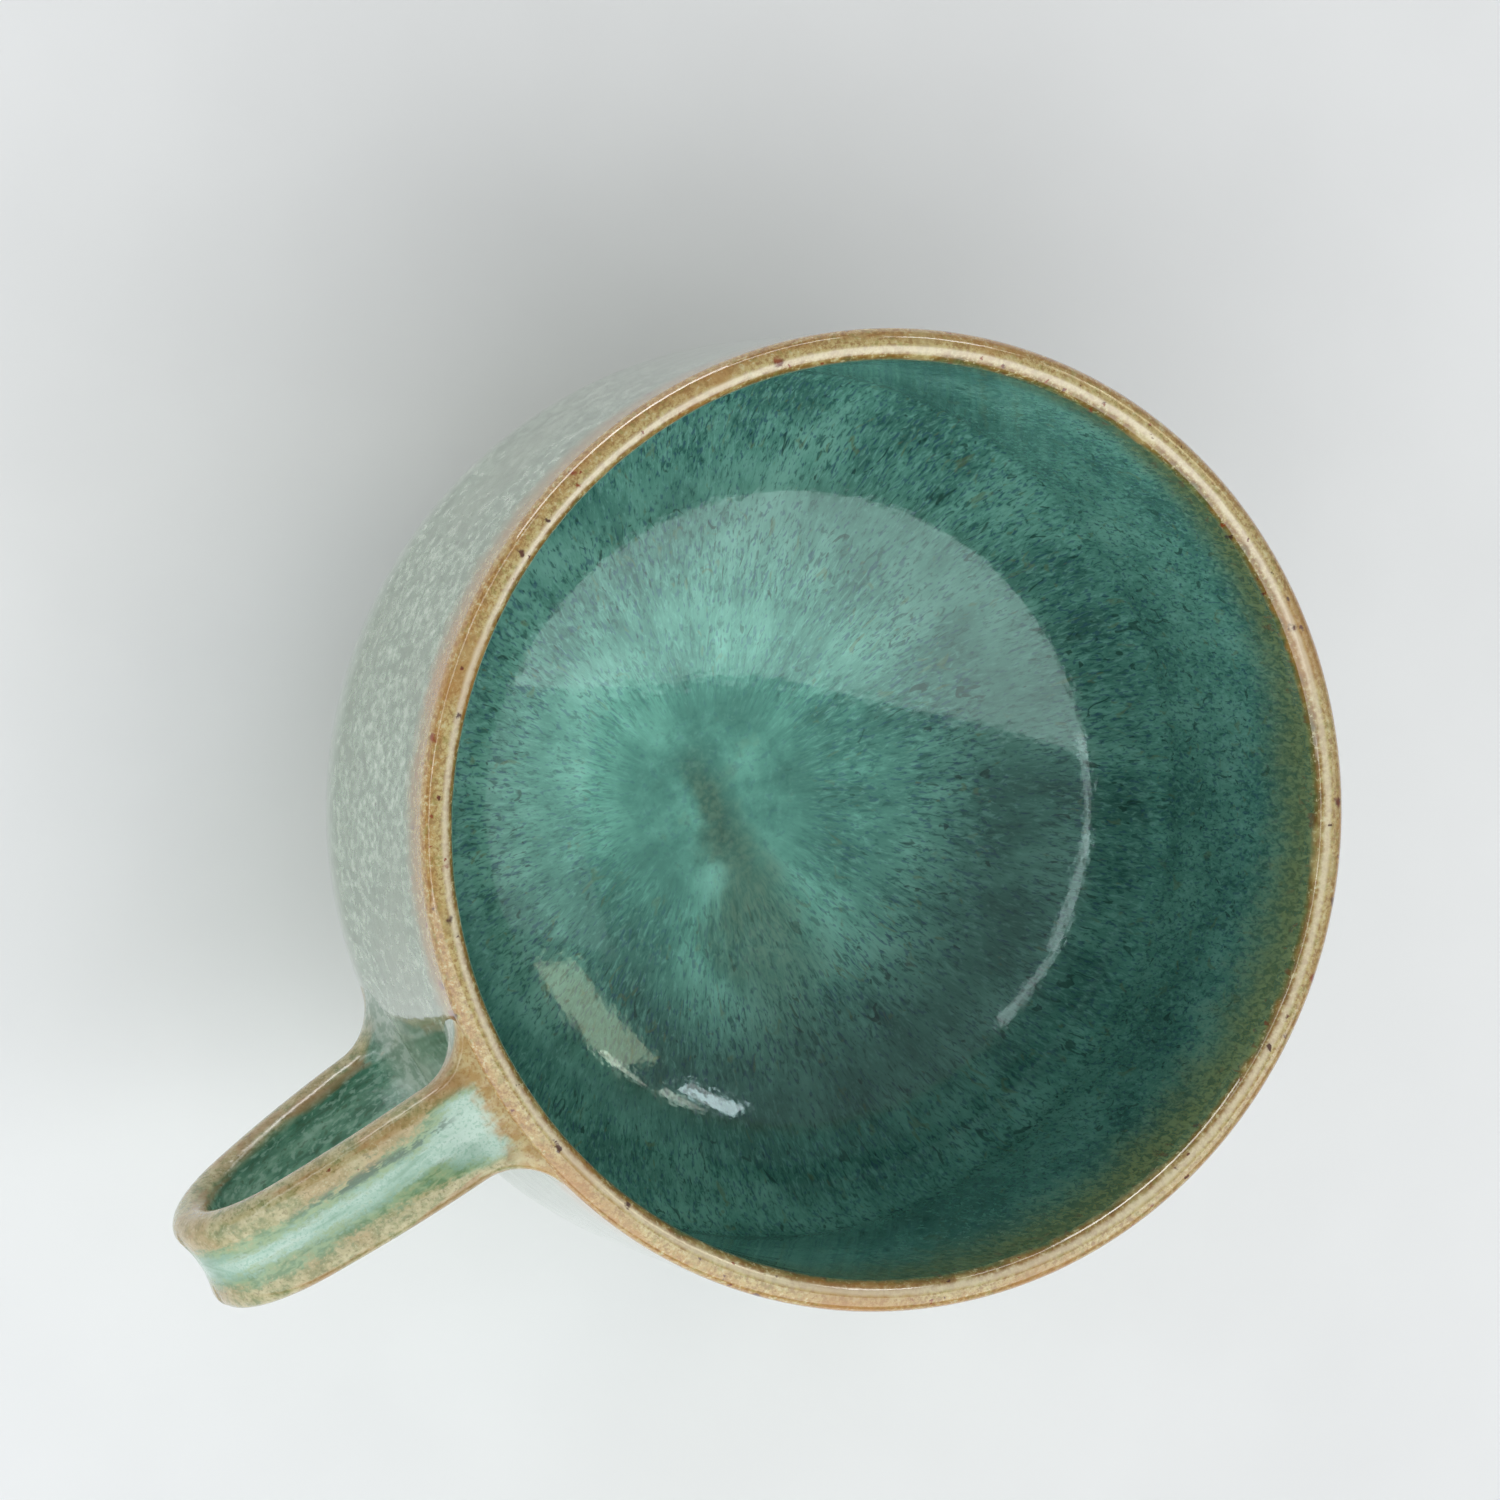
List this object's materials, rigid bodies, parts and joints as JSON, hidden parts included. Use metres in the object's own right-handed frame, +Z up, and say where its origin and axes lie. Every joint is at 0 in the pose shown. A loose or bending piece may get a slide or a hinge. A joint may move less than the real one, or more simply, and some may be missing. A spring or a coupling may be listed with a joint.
{
  "type": "ceramic mug",
  "caption": "Low, wide hand-thrown stoneware mug with a small strap handle, speckled tan lip, pale celadon outside and deep teal inside.",
  "frame": {"origin": "centre of the foot ring, on the plane that the mug stands on", "axes": "+Z up through the mouth along the cup's turning axis, +X out through the middle of the handle, +Y to the left of the handle seen from the cup"},
  "size_m": [0.1316, 0.1, 0.066],
  "materials": {
    "clay": "matt bare stoneware with fine iron specks",
    "slip": "matt",
    "outer_glaze": "glossy pale celadon with whitish drips and small brown specks",
    "liner_glaze": "glossy teal with fine light and dark streaks that run out from the middle",
    "rim_glaze": "glossy honey tan with red-brown iron specks",
    "handle_glaze": "glossy mint pooled in the channel, breaking to speckled tan on the ridges"
  },
  "bodies": {
    "root": {"body": "clay", "handle": "clay", "upper_slip": "slip", "lower_slip": "slip", "upper_coil": "clay", "lower_coil": "clay", "outer_glaze": "outer_glaze", "liner_glaze": "liner_glaze", "rim_glaze": "rim_glaze", "handle_glaze": "handle_glaze"}
  },
  "joints": []
}
